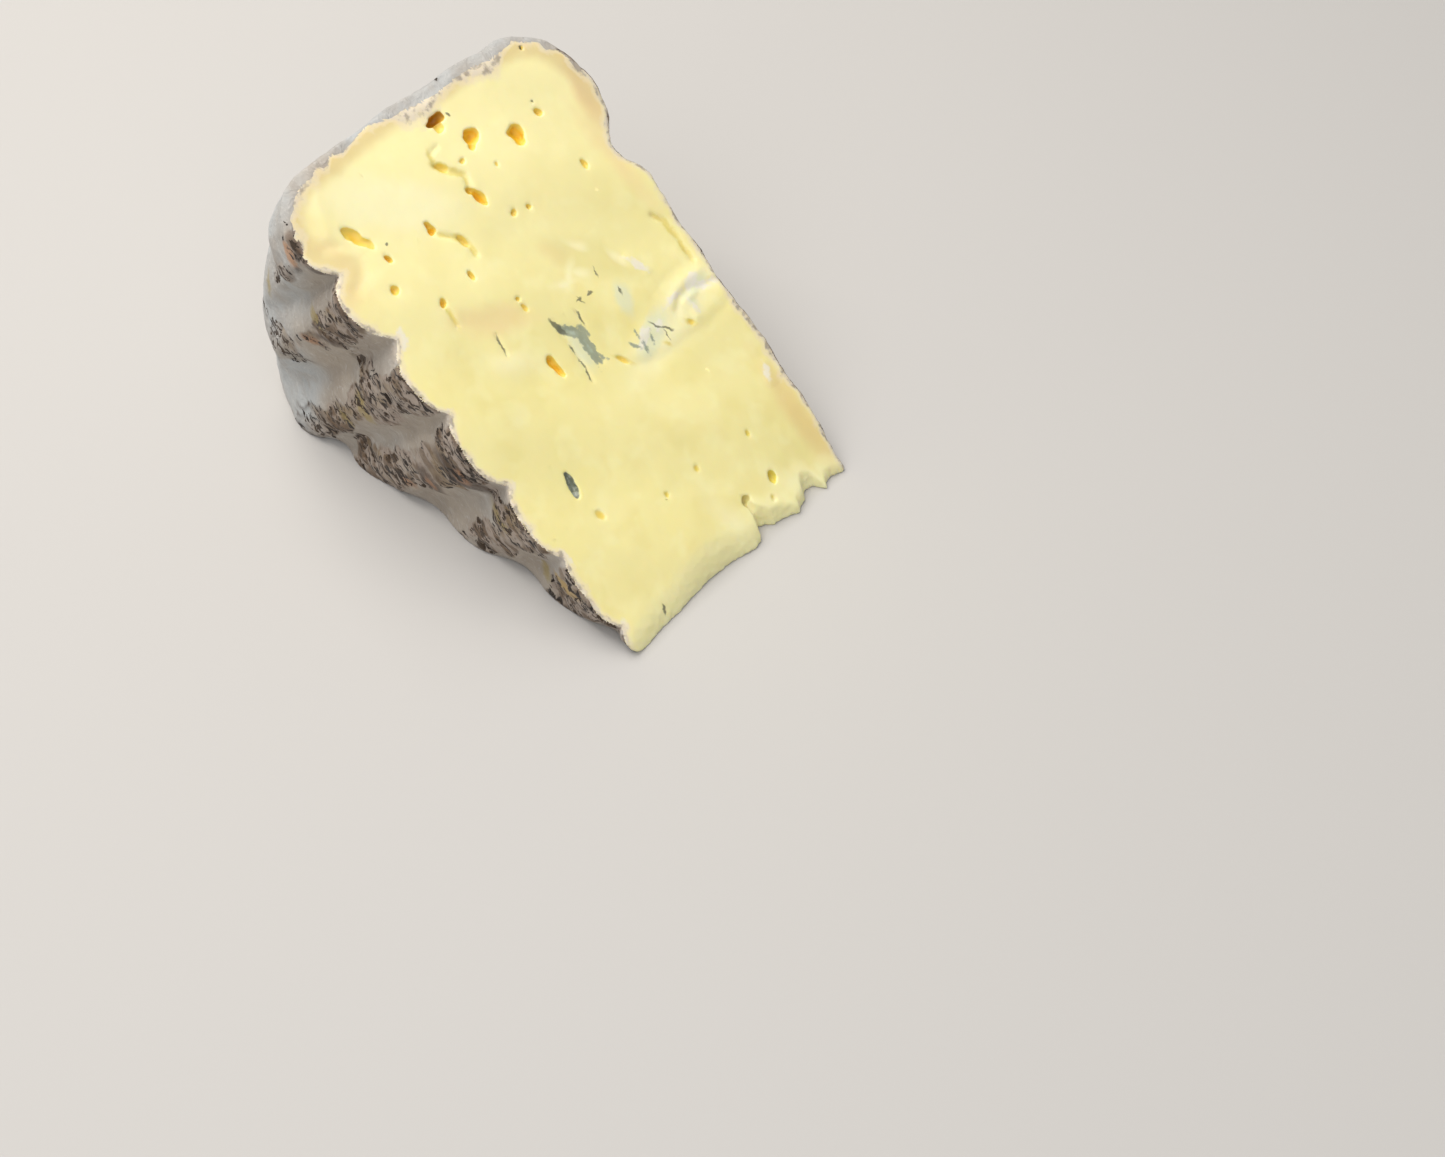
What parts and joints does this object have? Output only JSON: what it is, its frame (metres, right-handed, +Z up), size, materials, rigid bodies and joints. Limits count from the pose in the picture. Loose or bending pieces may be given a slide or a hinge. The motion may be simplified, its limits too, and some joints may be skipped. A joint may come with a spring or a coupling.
{
  "type": "cheese wedge",
  "caption": "Wedge of soft natural-rind cheese lying on one cut face, with pale yellow paste, small eyes, veins of mould and a grooved grey rind.",
  "frame": {"origin": "middle of the footprint's bounding box, on the surface that the lower cut face lies on", "axes": "+X from the thin tip to the rim along the lower cut face, +Y towards the grooved side of the rind, +Z up"},
  "size_m": [0.1256, 0.0828, 0.0765],
  "materials": {
    "cheese": "soft satin pale yellow paste with eyes and blue-grey mould, inside a dry matt grey-brown natural rind"
  },
  "bodies": {
    "root": {"cheese_wedge": "cheese"}
  },
  "joints": []
}
